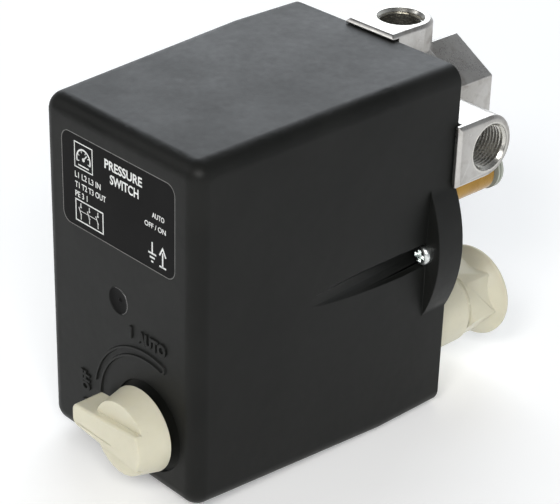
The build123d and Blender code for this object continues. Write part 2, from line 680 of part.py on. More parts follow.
def make_lever():
    """Pressure lever: plate, pivot barrel and forked lower end."""
    thick = (LEVER_FRONT, LEVER_BACK)
    fork = around(PIVOT_Y, BARREL_R)
    boss = (LEVER_FRONT - SPRING_BOSS, LEVER_FRONT)
    ear_right, ear_low, ear_high = LEVER_EAR
    lever = block((LEVER_LEFT, LEVER_RIGHT), thick, (PIVOT_Z, LEVER_TOP))
    lever += block((LEVER_RIGHT, ear_right), thick, (ear_low, ear_high))
    lever += block(around(0, LEVER_NECK_HALF), thick, (LINK_Z + 4, PIVOT_Z))
    lever += cross_rod(BARREL_R, LEVER_LEFT, LEVER_RIGHT, PIVOT_Y, PIVOT_Z)
    lever += block(around(0, FORK_HALF), fork, (FORK_END, LINK_Z + FORK_HALF))
    lever -= block(around(0, FORK_HALF), around(PIVOT_Y, LINK_R + 0.06), (FORK_END, FORK_SLOT_TOP))
    lever += rod(5.5, *boss, 0, PORT_Z)
    lever += rod(3.5, *boss, DIFF_X, PORT_Z)
    return lever - cross_rod(PIVOT_R + RUNNING, LEVER_LEFT, LEVER_RIGHT, PIVOT_Y, PIVOT_Z)


def make_spring_set(name, x, spring_r, wire, screw_r, seat_half):
    """One setting spring with its screw and its travelling seat."""
    spring = coil(spring_r, wire, SEAT_BACK + 0.1, LEVER_FRONT - 0.1, SPRING_TURNS, x, PORT_Z)
    export_node(spring, f"{name}_spring")

    seat = block(around(x, seat_half), (SEAT_FRONT, SEAT_BACK), around(PORT_Z, seat_half))
    seat += rod(spring_r - wire - 0.4, SEAT_BACK, SEAT_BACK + SEAT_PILOT, x, PORT_Z)
    seat -= rod(screw_r + RUNNING, SEAT_FRONT, SEAT_BACK + SEAT_PILOT, x, PORT_Z)
    export_node(seat, f"{name}_spring_seat")

    head_back = FRAME_FRONT - GAP
    head_front = head_back - SETTING_HEAD
    slot = (head_front, head_front + SETTING_SLOT_DEPTH)
    screw = hexagon(3.2 * screw_r, head_front, head_back, x, PORT_Z)
    screw -= block(around(x, 2 * screw_r), slot, around(PORT_Z, SETTING_SLOT_HALF))
    screw += rod(screw_r, head_back, SETTING_SCREW_END, x, PORT_Z)
    collar = rod(screw_r + 1.5, FRAME_BACK + GAP, FRAME_BACK + FRAME_THICK, x, PORT_Z)
    export_node(screw + collar, f"{name}_setting_screw")


# ---------------------------------------------------------------- contacts
def make_contact_block():
    """Moulded block with three open bays for the contact bridges."""
    rear = (BAR_ROOM_FRONT, BLOCK_BACK)
    yoke_band = (BAR_ROOM_BAND[0], BLOCK_TOP)
    body = block(around(0, BLOCK_HALF_W), (BLOCK_FRONT, BLOCK_BACK), (BLOCK_BOTTOM, BLOCK_TOP))
    body -= block(around(0, BAR_ROOM_HALF), rear, BAR_ROOM_BAND)
    body -= block(around(0, YOKE_ROOM_HALF), rear, yoke_band)
    body -= block((RELIEF_ARM_ROOM, BAR_ROOM_HALF), rear, yoke_band)
    for x in POLES:
        body -= block(around(x, BAY_HALF), (BAY_FLOOR, BLOCK_BACK), BAY_BAND)
        for up in (1, -1):
            leg = [POLE_Z + up * (LEG_BAND[0] - GAP), POLE_Z + up * (LEG_BAND[1] + GAP)]
            body -= block(around(x, TAB_HALF + GAP), (BLOCK_FRONT, BAY_FLOOR), leg)
            screw_end = BLOCK_FRONT + TERMINAL_SCREW_REACH + CUT_OVER
            body -= rod(M4_PAN[2] + RUNNING, BLOCK_FRONT, screw_end, x, POLE_Z + up * TERMINAL_SCREW_UP)
    for x, z in block_screw_spots():
        body += rod(BLOCK_POST_R, BLOCK_BACK, BASE_FRONT, x, z)
        body -= rod(M3_2_PAN[2] + 0.15, BLOCK_FRONT, BASE_FRONT, x, z)
    body -= rod(SHAFT_R + RUNNING, BLOCK_FRONT, BAY_FLOOR, KNOB_X, KNOB_Z)
    return body - rod(PUSH_R + GAP, BLOCK_FRONT, BAR_FRONT, PUSH_X, KNOB_Z)


def make_fixed_contact(x, up):
    """Terminal tab on the block's face, a leg through its wall and a contact pad."""
    def lift(near, far):
        return POLE_Z + up * near, POLE_Z + up * far

    wide = around(x, TAB_HALF)
    leg_in, leg_out = LEG_BAND
    pad_in = CONTACT_UP - BUTTON_R - 0.5
    contact = block(wide, (TAB_FRONT, BLOCK_FRONT - 0.1), lift(leg_in, TAB_END))
    contact += block(wide, (TAB_FRONT, CONTACT_FACE), lift(leg_in, leg_out))
    contact += block(wide, (CONTACT_FACE - STRAP_THICK, CONTACT_FACE), lift(pad_in, leg_out))
    contact += rod(BUTTON_R, CONTACT_FACE, CONTACT_FACE + BUTTON_THICK, x, POLE_Z + up * CONTACT_UP)
    screw_hole = rod(M4_PAN[2] + CLEARANCE, TAB_FRONT, BLOCK_FRONT, x, POLE_Z + up * TERMINAL_SCREW_UP)
    return contact - screw_hole


def make_bridge(x):
    """Moving contact strap of one pole, open at rest."""
    outline = Rectangle(STRAP_W, STRAP_H) - Circle(BRIDGE_PIN_R + CLEARANCE)
    strap_front = BRIDGE_FRONT + BUTTON_THICK
    strap = slab(Pos(x, POLE_Z) * outline, strap_front, BRIDGE_BACK)
    for up in (1, -1):
        button = Pos(x, POLE_Z + up * CONTACT_UP) * Circle(BUTTON_R)
        strap += slab(button, BRIDGE_FRONT, strap_front)
    return strap


def make_carrier():
    """Sliding contact carrier with its yoke, its push rod and the arm to the relief valve."""
    carrier = block(around(0, BAR_HALF_W), (BAR_FRONT, BAR_BACK), around(POLE_Z, BAR_HALF_H))
    for x in POLES:
        carrier += rod(BRIDGE_PIN_R, CONTACT_FACE + 4.0, BAR_FRONT, x, POLE_Z)
    for side in (-1, 1):
        cheek = (side * YOKE_INNER, side * YOKE_OUTER)
        carrier += block(cheek, (BAR_FRONT, BAR_BACK), (POLE_Z, YOKE_TOP))
        carrier += block(cheek, (BAR_BACK, YOKE_BACK), (LINK_Z - FORK_HALF, YOKE_TOP))
    carrier -= cross_rod(LINK_R + 0.02, -LINK_HALF, LINK_HALF, PIVOT_Y, LINK_Z)
    carrier += block(RELIEF_ARM, (BAR_FRONT, BAR_BACK - 2.0), (POLE_Z, RELIEF_Z + 3.0))
    tip = CAM_BACK + GAP + 0.1 + CARRIER_TRAVEL
    return carrier + rod(PUSH_R, tip, BAR_FRONT, PUSH_X, KNOB_Z)


# ---------------------------------------------------------------- fasteners
def make_fasteners():
    cover_screws = Part()
    for side in (-1, 1):
        cover_screws += pan_screw(M4_PAN, LUG_FRONT, BASE_BACK, side * SCREW_X, 0)
    export_node(cover_screws, "cover_screws")

    flange_screws = Part()
    for x, z in flange_screw_spots():
        flange_screws += pan_screw(M3_8_PAN, BASE_FRONT - SEATED, BASE_BACK + FLANGE_SCREW_REACH, x, z)
    export_node(flange_screws, "flange_screws")

    flush = BASE_BACK - 0.4
    block_screws = Part()
    for x, z in block_screw_spots():
        block_screws += pan_screw(M3_2_PAN, BLOCK_FRONT - SEATED, flush, x, z)
    export_node(block_screws, "block_screws")

    frame_screws = Part()
    for x, z in frame_screw_spots():
        frame_screws += pan_screw(M3_PAN, BASE_FRONT - FRAME_THICK - SEATED, flush, x, z)
    export_node(frame_screws, "frame_screws")

    terminal_screws = Part()
    for x in POLES:
        for up in (1, -1):
            terminal_screws += pan_screw(M4_PAN, TAB_FRONT - 0.1, BLOCK_FRONT + TERMINAL_SCREW_REACH,
                                         x, POLE_Z + up * TERMINAL_SCREW_UP)
    export_node(terminal_screws, "terminal_screws")

    clamp_back = BASE_FRONT - SEATED
    clamp_front = clamp_back - 1.55
    export_node(pan_screw(M4_PAN, clamp_front - SEATED, flush, *EARTH_SPOT), "earth_screw")
    clamp = block(around(EARTH_SPOT[0], 4.0), (clamp_front, clamp_back), (-10.0, 1.0))
    clamp -= rod(M4_PAN[2] + CLEARANCE, clamp_front, clamp_back, *EARTH_SPOT)
    export_node(clamp, "earth_clamp")


def main():
    export_node(make_cover(), "cover")
    export_node(make_label(), "rating_label")
    export_node(make_knob(), "knob")
    export_node(make_knob_clip(), "knob_clip")
    export_node(rod(SHAFT_R - 0.02, 0.1, SHAFT_END, KNOB_X, KNOB_Z), "selector_shaft")
    export_node(make_cam(), "selector_cam")
    export_node(make_base(), "base_plate")
    export_node(make_gasket(), "cover_gasket")
    export_node(make_flange(), "pressure_flange")
    diaphragm = rod(DIAPHRAGM_R, BASE_BACK + 0.02, BASE_BACK + DIAPHRAGM_THICK - 0.02, 0, PORT_Z)
    export_node(diaphragm, "diaphragm")
    export_node(make_piston(), "piston")
    export_node(make_lever(), "pressure_lever")
    export_node(cross_rod(PIVOT_R, FRAME_LEFT - 1, CHEEK_RIGHT + 0.8, PIVOT_Y, PIVOT_Z), "lever_pivot_pin")
    export_node(make_frame(), "spring_frame")
    make_spring_set("main", 0.0, 8.0, 1.3, 4.0, 11.0)
    make_spring_set("differential", DIFF_X, 5.0, 0.8, 2.5, 7.0)
    export_node(make_contact_block(), "contact_block")
    export_node(make_carrier(), "contact_carrier")
    export_node(cross_rod(LINK_R, -LINK_HALF, LINK_HALF, PIVOT_Y, LINK_Z), "carrier_link_pin")
    for number, x in enumerate(POLES, start=1):
        export_node(make_bridge(x), f"contact_bridge_{number}")
        spring = coil(2.3, 0.35, BRIDGE_BACK + SEATED, BAR_FRONT - SEATED, 3, x, POLE_Z)
        export_node(spring, f"contact_spring_{number}")
        export_node(make_fixed_contact(x, 1), f"line_contact_{number}")
        export_node(make_fixed_contact(x, -1), f"load_contact_{number}")
    make_fasteners()
    for side in (-1, 1):
        make_gland(side)
    make_relief_valve()


main()
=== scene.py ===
import json
import math

import bmesh
import bpy
from mathutils import Matrix, Vector
from mathutils.bvhtree import BVHTree


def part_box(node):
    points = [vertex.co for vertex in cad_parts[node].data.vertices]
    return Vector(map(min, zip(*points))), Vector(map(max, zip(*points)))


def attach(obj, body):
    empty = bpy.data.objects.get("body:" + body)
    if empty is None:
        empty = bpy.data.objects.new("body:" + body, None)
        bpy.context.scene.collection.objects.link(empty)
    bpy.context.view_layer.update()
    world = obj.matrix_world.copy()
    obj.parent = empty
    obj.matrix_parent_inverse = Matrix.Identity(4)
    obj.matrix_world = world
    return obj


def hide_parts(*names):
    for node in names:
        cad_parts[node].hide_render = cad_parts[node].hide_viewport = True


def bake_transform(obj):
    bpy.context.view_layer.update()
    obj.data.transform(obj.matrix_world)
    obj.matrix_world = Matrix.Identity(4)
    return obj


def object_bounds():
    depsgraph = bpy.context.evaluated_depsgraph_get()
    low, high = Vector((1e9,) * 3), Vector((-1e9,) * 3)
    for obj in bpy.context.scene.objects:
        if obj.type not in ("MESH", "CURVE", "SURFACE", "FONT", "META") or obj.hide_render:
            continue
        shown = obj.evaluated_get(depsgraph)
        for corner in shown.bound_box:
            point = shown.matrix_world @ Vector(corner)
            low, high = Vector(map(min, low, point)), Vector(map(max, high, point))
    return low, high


MM = 0.001
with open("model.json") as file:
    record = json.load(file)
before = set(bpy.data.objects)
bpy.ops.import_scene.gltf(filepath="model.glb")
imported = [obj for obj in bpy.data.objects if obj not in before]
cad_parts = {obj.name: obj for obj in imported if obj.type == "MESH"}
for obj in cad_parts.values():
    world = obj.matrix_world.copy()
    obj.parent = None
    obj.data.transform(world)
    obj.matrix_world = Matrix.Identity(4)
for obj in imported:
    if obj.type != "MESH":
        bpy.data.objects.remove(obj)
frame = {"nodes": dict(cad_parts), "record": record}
CAD_LOW, CAD_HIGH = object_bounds()
RECORD = frame["record"]
NODES = frame["nodes"]
MOUNTS = {mount["name"]: mount for mount in RECORD["mounts"]}
BODY_OF = {node: body for body, nodes in RECORD["behaviour"]["bodies"].items() for node in nodes}
SLOT_OF = {part["node"]: part["material_slot"] for part in RECORD["subparts"]}

# The row's origin, in millimetres from the middle of the cover's front face.
CAD_ORIGIN = Vector((0.0, 154.3, 32.6))


# ---------------------------------------------------------------- node helpers
def map_range(tree, value, from_span, to_span):
    """An output moved from one span of numbers to another, and held at their ends."""
    node = tree.nodes.new("ShaderNodeMapRange")
    for socket, number in zip(("From Min", "From Max", "To Min", "To Max"), (*from_span, *to_span)):
        node.inputs[socket].default_value = number
    tree.links.new(value, node.inputs["Value"])
    return node.outputs["Result"]


class Recipe:
    """A node material under construction, with one Principled shader."""

    def __init__(self, name, **sockets):
        self.material = bpy.data.materials.new(name)
        self.material.use_nodes = True
        self.tree = self.material.node_tree
        self.nodes = self.tree.nodes
        self.shader = self.nodes["Principled BSDF"]
        for socket, value in sockets.items():
            self.shader.inputs[socket.replace("_", " ")].default_value = value
        self.where = self.nodes.new("ShaderNodeTexCoord").outputs["Object"]

    def link(self, output, node, socket):
        self.tree.links.new(output, node.inputs[socket])

    def stretched(self, scale):
        """Object coordinates scaled by a vector."""
        mapping = self.nodes.new("ShaderNodeMapping")
        mapping.inputs["Scale"].default_value = scale
        self.link(self.where, mapping, "Vector")
        return mapping.outputs["Vector"]

    def noise(self, scale, detail=4.0, roughness=0.55, where=None):
        node = self.nodes.new("ShaderNodeTexNoise")
        node.inputs["Scale"].default_value = scale
        node.inputs["Detail"].default_value = detail
        node.inputs["Roughness"].default_value = roughness
        self.link(where or self.where, node, "Vector")
        return node.outputs["Fac"]

    def ramp(self, value, low, high, start=0.0, stop=1.0):
        return map_range(self.tree, value, (low, high), (start, stop))

    def mixed(self, factor, first, second):
        """From first, a colour or an output, to the colour second."""
        node = self.nodes.new("ShaderNodeMix")
        node.data_type = "RGBA"
        if isinstance(first, tuple):
            node.inputs["A"].default_value = (*first, 1.0)
        else:
            self.link(first, node, "A")
        node.inputs["B"].default_value = (*second, 1.0)
        self.link(factor, node, "Factor")
        return node.outputs["Result"]

    def math(self, operation, first, second):
        node = self.nodes.new("ShaderNodeMath")
        node.operation = operation
        for index, value in enumerate((first, second)):
            if isinstance(value, (int, float)):
                node.inputs[index].default_value = value
            else:
                self.link(value, node, index)
        return node.outputs["Value"]

    def edge_wear_and_highlight(self, spread):
        """1 on convex edges and corners and 0 on open surfaces; it lightens those edges, as rubbed wear and
        as a painted highlight.
        """
        geometry = self.nodes.new("ShaderNodeNewGeometry")
        return self.ramp(geometry.outputs["Pointiness"], 0.5, 0.5 + spread)

    def bump(self, *layers):
        """Chain of height layers, each (output, distance in metres)."""
        normal = None
        for height, distance in layers:
            node = self.nodes.new("ShaderNodeBump")
            node.inputs["Distance"].default_value = distance
            self.link(height, node, "Height")
            if normal:
                self.link(normal, node, "Normal")
            normal = node.outputs["Normal"]
        self.link(normal, self.shader, "Normal")

    def colour(self, output):
        self.link(output, self.shader, "Base Color")

    def roughness(self, output):
        self.link(output, self.shader, "Roughness")


# ---------------------------------------------------------------- materials
# Convex edges are mixed towards these lighter colours, as wear and as a painted highlight.
SCUFF_AND_HIGHLIGHT_PLASTIC = (0.09, 0.09, 0.09)
RUBBED_AND_HIGHLIGHT_ALLOY = (0.66, 0.65, 0.63)
CREAM_DUST = (0.50, 0.47, 0.36)
SWELL = 12  # height of the slow unevenness under a moulded surface, in grain heights


def moulded_black(name, dark, light, grain, rough, shine=0.12, wear_and_highlight=0.1):
    """Injection-moulded dark plastic with a fine spark-eroded grain and faint flow marks."""
    recipe = Recipe(name, Specular_IOR_Level=shine)
    flow = recipe.noise(38.0, detail=3.0)
    grime = recipe.noise(420.0, detail=5.0)
    cloud = recipe.mixed(recipe.ramp(flow, 0.3, 0.7), dark, light)
    # Convex edges lightened: scuffs, and a painted highlight.
    edges = recipe.math("MULTIPLY", recipe.edge_wear_and_highlight(0.12), wear_and_highlight)
    recipe.colour(recipe.mixed(edges, cloud, SCUFF_AND_HIGHLIGHT_PLASTIC))
    uneven = recipe.math("ADD", recipe.math("MULTIPLY", flow, 0.55), recipe.math("MULTIPLY", grime, 0.45))
    recipe.roughness(recipe.ramp(uneven, 0.35, 0.65, *rough))
    recipe.bump((recipe.noise(2600.0, detail=2.0), grain), (recipe.noise(60.0, detail=2.0), SWELL * grain))
    return recipe.material


def moulded_cream():
    """Slightly translucent cream plastic, with a few dusty specks."""
    recipe = Recipe("cream_plastic", Subsurface_Weight=0.12, Subsurface_Scale=0.002)
    recipe.shader.inputs["Subsurface Radius"].default_value = (1.0, 0.75, 0.4)
    cloud = recipe.noise(70.0, detail=3.0)
    specks = recipe.noise(900.0, detail=4.0)
    base = recipe.mixed(recipe.ramp(cloud, 0.3, 0.7), (0.62, 0.59, 0.455), (0.67, 0.64, 0.50))
    recipe.colour(recipe.mixed(recipe.ramp(specks, 0.62, 0.75, 0.0, 0.35), base, CREAM_DUST))
    recipe.roughness(recipe.ramp(specks, 0.3, 0.7, 0.34, 0.48))
    recipe.bump((recipe.noise(3200.0, detail=2.0), 0.00001), (cloud, 0.0001))
    return recipe.material


def cast_alloy(name, dark, light, stain, spots, rough):
    """Blasted casting with dull stains, and corners lightened as wear and as a painted highlight; spots is
    how strongly the stains show.
    """
    recipe = Recipe(name, Metallic=1.0)
    cloud = recipe.noise(90.0, detail=5.0)
    blast = recipe.noise(900.0, detail=5.0, roughness=0.7)
    base = recipe.mixed(recipe.ramp(cloud, 0.32, 0.68), dark, light)
    stained = recipe.mixed(recipe.ramp(recipe.noise(190.0, detail=6.0), 0.50, 0.66, 0.0, spots), base, stain)
    specked = recipe.mixed(recipe.ramp(blast, 0.58, 0.74, 0.0, spots), stained, stain)
    # Corners lightened: rubbed wear, and a painted highlight.
    edges = recipe.math("MULTIPLY", recipe.edge_wear_and_highlight(0.08), 0.6)
    recipe.colour(recipe.mixed(edges, specked, RUBBED_AND_HIGHLIGHT_ALLOY))
    recipe.roughness(recipe.ramp(recipe.math("ADD", cloud, blast), 0.75, 1.25, *rough))
    recipe.bump((recipe.noise(2200.0, detail=3.0), 0.000012), (recipe.noise(420.0, detail=3.0), 0.00002))
    return recipe.material


def turned_metal(name, dark, light, rough, lines):
    """Metal turned about the Y axis: fine rings, with a little tarnish."""
    recipe = Recipe(name, Metallic=1.0)
    rings = recipe.noise(lines, detail=2.0, where=recipe.stretched((0.04, 1.0, 0.04)))
    cloud = recipe.noise(130.0, detail=5.0)
    base = recipe.mixed(recipe.ramp(cloud, 0.3, 0.7), dark, light)
    # Convex edges lightened towards the light colour: wear, and a painted highlight.
    recipe.colour(recipe.mixed(recipe.math("MULTIPLY", recipe.edge_wear_and_highlight(0.1), 0.5), base, light))
    recipe.roughness(recipe.ramp(recipe.math("ADD", cloud, rings), 0.75, 1.25, *rough))
    recipe.bump((rings, 0.00002), (recipe.noise(900.0), 0.00001))
    return recipe.material


def soft_rubber():
    recipe = Recipe("black_rubber")
    cloud = recipe.noise(220.0, detail=4.0)
    recipe.colour(recipe.mixed(recipe.ramp(cloud, 0.3, 0.7), (0.018, 0.018, 0.018), (0.035, 0.034, 0.033)))
    recipe.roughness(recipe.ramp(cloud, 0.3, 0.7, 0.55, 0.75))
    recipe.bump((recipe.noise(1800.0), 0.00002))
    return recipe.material


def print_ink():
    recipe = Recipe("print_white")
    worn = recipe.noise(1400.0, detail=5.0)
    recipe.colour(recipe.mixed(recipe.ramp(worn, 0.25, 0.62), (0.50, 0.51, 0.50), (0.80, 0.81, 0.80)))
    recipe.roughness(recipe.ramp(worn, 0.3, 0.7, 0.35, 0.55))
    recipe.bump((worn, 0.00001))
    return recipe.material


# Light grey that paints the highlight along the rim of the label's recess.
def edge_highlight_film():
    recipe = Recipe("film_edge_highlight")
    cloud = recipe.noise(600.0)
    recipe.colour(recipe.mixed(recipe.ramp(cloud, 0.3, 0.7), (0.10, 0.10, 0.095), (0.17, 0.17, 0.165)))
    recipe.roughness(recipe.ramp(cloud, 0.3, 0.7, 0.25, 0.4))
    recipe.bump((cloud, 0.00001))
    return recipe.material


def floor_paint():
    """White studio floor that glows a little, so that it meets the background without a line."""
    recipe = Recipe("studio_floor", Emission_Color=(1.0, 1.0, 1.0, 1.0), Emission_Strength=0.24)
    cloud = recipe.noise(6.0, detail=3.0)
    recipe.colour(recipe.mixed(cloud, (0.86, 0.86, 0.86), (0.90, 0.90, 0.90)))
    recipe.roughness(recipe.ramp(cloud, 0.0, 1.0, 0.75, 0.85))
    return recipe.material


# Colours are linear base colours, from dark to light; grain is in metres.
PAINTS = {
    "cover_black": moulded_black(
        "cover_black", (0.006, 0.0065, 0.0058), (0.010, 0.0105, 0.0096),
        grain=0.00002, rough=(0.40, 0.50), shine=0.15),
    "label_film": moulded_black(
        "label_film", (0.006, 0.006, 0.006), (0.009, 0.009, 0.009),
        grain=0.000004, rough=(0.34, 0.44), shine=0.04, wear_and_highlight=0.0),
    "cream_plastic": moulded_cream(),
    "cast_alloy": cast_alloy(
        "cast_alloy", (0.36, 0.345, 0.325), (0.46, 0.445, 0.42),
        stain=(0.20, 0.17, 0.145), spots=0.6, rough=(0.24, 0.40)),
    "zinc_steel": turned_metal(
        "zinc_steel", (0.55, 0.58, 0.57), (0.80, 0.83, 0.82), rough=(0.18, 0.34), lines=900.0),
    "spring_steel": turned_metal(
        "spring_steel", (0.42, 0.42, 0.42), (0.62, 0.62, 0.61), rough=(0.22, 0.38), lines=900.0),
    "contact_brass": turned_metal(
        "contact_brass", (0.60, 0.45, 0.21), (0.76, 0.60, 0.32), rough=(0.25, 0.40), lines=500.0),
    "brass": turned_metal(
        "brass", (0.31, 0.17, 0.035), (0.42, 0.25, 0.06), rough=(0.18, 0.34), lines=800.0),
    "black_steel": moulded_black(
        "black_steel", (0.018, 0.018, 0.018), (0.026, 0.026, 0.026), grain=0.00003, rough=(0.38, 0.52)),
    "grey_plastic": moulded_black(
        "grey_plastic", (0.10, 0.105, 0.105), (0.13, 0.135, 0.135), grain=0.00002, rough=(0.40, 0.55)),
    "collar_grey": moulded_black(
        "collar_grey", (0.42, 0.44, 0.38), (0.50, 0.52, 0.45), grain=0.00001, rough=(0.38, 0.50), shine=0.4),
    "block_plastic": moulded_black(
        "block_plastic", (0.03, 0.03, 0.033), (0.045, 0.045, 0.048), grain=0.00002, rough=(0.45, 0.60)),
    "black_rubber": soft_rubber(),
}


def paint(obj, material):
    obj.data.materials.clear()
    obj.data.materials.append(material)


def paint_frame():
    for part in RECORD["subparts"]:
        paint(NODES[part["node"]], PAINTS[part["material_slot"]])


# ---------------------------------------------------------------- mesh helpers
MERGE_DISTANCE = 1e-6    # metres
FLAT_DEG = 0.6           # CAD faces that meet at less than this become one
SHARP_DEG = 28.0         # CAD edges that turn more than this are rounded
BEVEL_STEPS = 2
BEVEL_ROOM = 2.2         # least width of the faces beside a rounded edge, in bevel widths
BEVEL_REACH = 0.45       # furthest a rounded point may leave the CAD surface, in bevel widths
NORMAL_WEIGHT = 80       # weighted normals: how far the large faces win


def row_point(x, y, z):
    """A point in millimetres about the cover's front face, in the row's metres."""
    return (Vector((x, y, z)) - CAD_ORIGIN) * MM


def linked(name, data):
    obj = bpy.data.objects.new(name, data)
    bpy.context.collection.objects.link(obj)
    return obj


def evaluated_mesh(obj):
    """A new mesh of the object as it is now, with its modifiers carried out."""
    bpy.context.view_layer.update()
    return bpy.data.meshes.new_from_object(obj.evaluated_get(bpy.context.evaluated_depsgraph_get()))


def stand_for(node):
    """Hide the node that a piece stands for."""
    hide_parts(node)


def finished_piece(name, shape, node, material, smooth_deg=40.0):
    """Add a bmesh as a piece on the node's body, with merged points, outward normals and clean shading."""
    bmesh.ops.remove_doubles(shape, verts=shape.verts, dist=MERGE_DISTANCE)
    bmesh.ops.recalc_face_normals(shape, faces=shape.faces)
    mesh = bpy.data.meshes.new(name)
    shape.to_mesh(mesh)
    shape.free()
    mesh.shade_smooth()
    mesh.set_sharp_from_angle(angle=math.radians(smooth_deg))
    obj = linked(name, mesh)
    paint(obj, material)
    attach(obj, BODY_OF[node])


def bare_copy(source, width, hidden):
    """A CAD mesh with flat neighbours joined, and a bevel weight on each sharp edge that has room for it.

    Edges whose first point hidden() holds for stay sharp.
    """
    shape = bmesh.new()
    shape.from_mesh(source.data)
    bmesh.ops.remove_doubles(shape, verts=shape.verts, dist=MERGE_DISTANCE)
    bmesh.ops.dissolve_limit(shape, angle_limit=math.radians(FLAT_DEG), verts=shape.verts, edges=shape.edges)
    shape.verts.index_update()
    soft = set()
    for edge in shape.edges:
        if len(edge.link_faces) != 2 or edge.calc_face_angle() < math.radians(SHARP_DEG):
            continue
        start = edge.verts[0].co
        if hidden and hidden(start):
            continue
        along = (edge.verts[1].co - start).normalized()
        room = min(max(abs((vert.co - start).dot(face.normal.cross(along))) for vert in face.verts)
                   for face in edge.link_faces)
        if room > BEVEL_ROOM * width:
            soft.add(frozenset(vert.index for vert in edge.verts))
    points = [tuple(vert.co) for vert in shape.verts]
    faces = [[vert.index for vert in face.verts] for face in shape.faces]
    shape.free()
    mesh = bpy.data.meshes.new(source.name + "_skin")
    mesh.from_pydata(points, [], faces)
    weight = mesh.attributes.new("bevel_weight_edge", "FLOAT", "EDGE")
    for edge in mesh.edges:
        weight.data[edge.index].value = float(frozenset(edge.vertices) in soft)
    return mesh


def bake(obj):
    mesh = evaluated_mesh(obj)
    obj.modifiers.clear()
    obj.data = mesh


def rounded_copy(node, width, material, hidden):
    """Stands for a CAD node, with its sharp edges slightly rounded and its shading evened out."""
    mesh = bare_copy(NODES[node], width, hidden)
    mesh.shade_smooth()
    surface = BVHTree.FromPolygons([vert.co for vert in mesh.vertices],
                                   [face.vertices for face in mesh.polygons])
    obj = linked(node + "_rounded", mesh)
    bevel = obj.modifiers.new("bevel", "BEVEL")
    bevel.width = width
    bevel.segments = BEVEL_STEPS
    bevel.limit_method = "WEIGHT"
    bevel.use_clamp_overlap = False
    bake(obj)
    for vert in obj.data.vertices:
        nearest, _, _, distance = surface.find_nearest(vert.co)
        if distance > BEVEL_REACH * width:
            vert.co = nearest
    even = obj.modifiers.new("even", "WEIGHTED_NORMAL")
    even.weight = NORMAL_WEIGHT
    bake(obj)
    paint(obj, material)
    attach(obj, BODY_OF[node])
    stand_for(node)


def add_ring(shape, loops, closed):
    """Skin a list of equal point loops; closed joins the last loop to the first."""
    rows = [[shape.verts.new(point) for point in loop] for loop in loops]
    pairs = list(zip(rows, rows[1:]))
    if closed:
        pairs.append((rows[-1], rows[0]))
    for near, far in pairs:
        for index in range(len(near)):
            after = (index + 1) % len(near)
            shape.faces.new((near[index], near[after], far[after], far[index]))
    if not closed:
        shape.faces.new(list(reversed(rows[0])))
        shape.faces.new(rows[-1])


LEAST_MITRE = 0.5


def ribbon(shape, path, base_half, top_half, front, back, closed=False):
    """Raised line along an X-Z path in millimetres, between two depths, with mitred turns."""
    loops = []
    count = len(path)
    for index, (x, z) in enumerate(path):
        before = path[index - 1] if closed or index else path[index]
        after = path[(index + 1) % count] if closed or index < count - 1 else path[index]
        first = Vector((x - before[0], z - before[1]))
        second = Vector((after[0] - x, after[1] - z))
        if first.length == 0:
            first = second
        if second.length == 0:
            second = first
        first.normalize()
        second.normalize()
        along = (first + second).normalized()
        mitre = 1.0 / max(LEAST_MITRE, along.dot(second))
        side = Vector((-along.y, along.x)) * mitre
        corners = ((base_half, back), (-base_half, back), (-top_half, front), (top_half, front))
        loops.append([row_point(x + side.x * offset, y, z + side.y * offset) for offset, y in corners])
    add_ring(shape, loops, closed)


def arc_points(centre, radius, start_deg, stop_deg, steps):
    for index in range(steps + 1):
        angle = math.radians(start_deg + (stop_deg - start_deg) * index / steps)
        yield centre[0] + radius * math.cos(angle), centre[1] + radius * math.sin(angle)


def circle_points(centre, radius, steps=40):
    return list(arc_points(centre, radius, 0.0, 360.0 * (steps - 1) / steps, steps - 1))


def lettering(shape, text, along, across, front, back, upright=False, weight=0.0, bevel=0.0):
    """Text that fills two spans in millimetres: along its reading direction and across it.

    The text is made at any size and then stretched, so weight and bevel are shares of its size.
    """
    curve = bpy.data.curves.new("text", "FONT")
    curve.body = text
    curve.offset = weight
    curve.extrude = 0.1
    curve.bevel_depth = bevel
    curve.resolution_u = 4
    holder = linked("text", curve)
    mesh = evaluated_mesh(holder)
    low = [min(vert.co[axis] for vert in mesh.vertices) for axis in range(3)]
    high = [max(vert.co[axis] for vert in mesh.vertices) for axis in range(3)]
    spans = (along, across, (back, front))
    for vert in mesh.vertices:
        u, v, depth = (span[0] + (vert.co[axis] - low[axis]) / (high[axis] - low[axis]) * (span[1] - span[0])
                       for axis, span in enumerate(spans))
        vert.co = row_point(v, depth, u) if upright else row_point(u, depth, v)
    shape.from_mesh(mesh)
    bpy.data.objects.remove(holder)
    bpy.data.curves.remove(curve)
    bpy.data.meshes.remove(mesh)


# ---------------------------------------------------------------- front face
# Places on the front face are in millimetres: x to the right, z up, and depth backwards from the face.
KNOB_CENTRE = (14.4, -39.3)
RAISED_FRONT = -0.6
RAISED_BACK = 0.3
ARC_OUTER, ARC_INNER = 27.2, 24.4


def raised_marks():
    """Moulded words and figures for the two selector positions, and the arc between them."""
    shape = bmesh.new()
    face = dict(front=RAISED_FRONT, back=RAISED_BACK, weight=0.045, bevel=0.015)
    lettering(shape, "I", (5.9, 7.1), (-9.5, -5.3), **face)
    lettering(shape, "AUTO", (9.9, 23.9), (-9.6, -5.0), **face)
    lettering(shape, "0", (-47.4, -44.6), (-15.5, -20.2), upright=True, **face)
    lettering(shape, "OFF", (-41.2, -33.5), (-15.5, -20.2), upright=True, **face)
    turn_deg = 74.0
    turn_radius = (ARC_OUTER - ARC_INNER) / 2
    turn = next(arc_points(KNOB_CENTRE, (ARC_OUTER + ARC_INNER) / 2, turn_deg, turn_deg, 1))
    outer = list(arc_points(KNOB_CENTRE, ARC_OUTER, 169.0, turn_deg, 48))
    cap = list(arc_points(turn, turn_radius, 56.0, -88.0, 8))
    inner = list(arc_points(KNOB_CENTRE, ARC_INNER, turn_deg, 196.0, 52))
    ribbon(shape, outer + cap + inner, 0.62, 0.34, RAISED_FRONT, RAISED_BACK)
    finished_piece("raised_marks", shape, "cover", PAINTS["cover_black"])


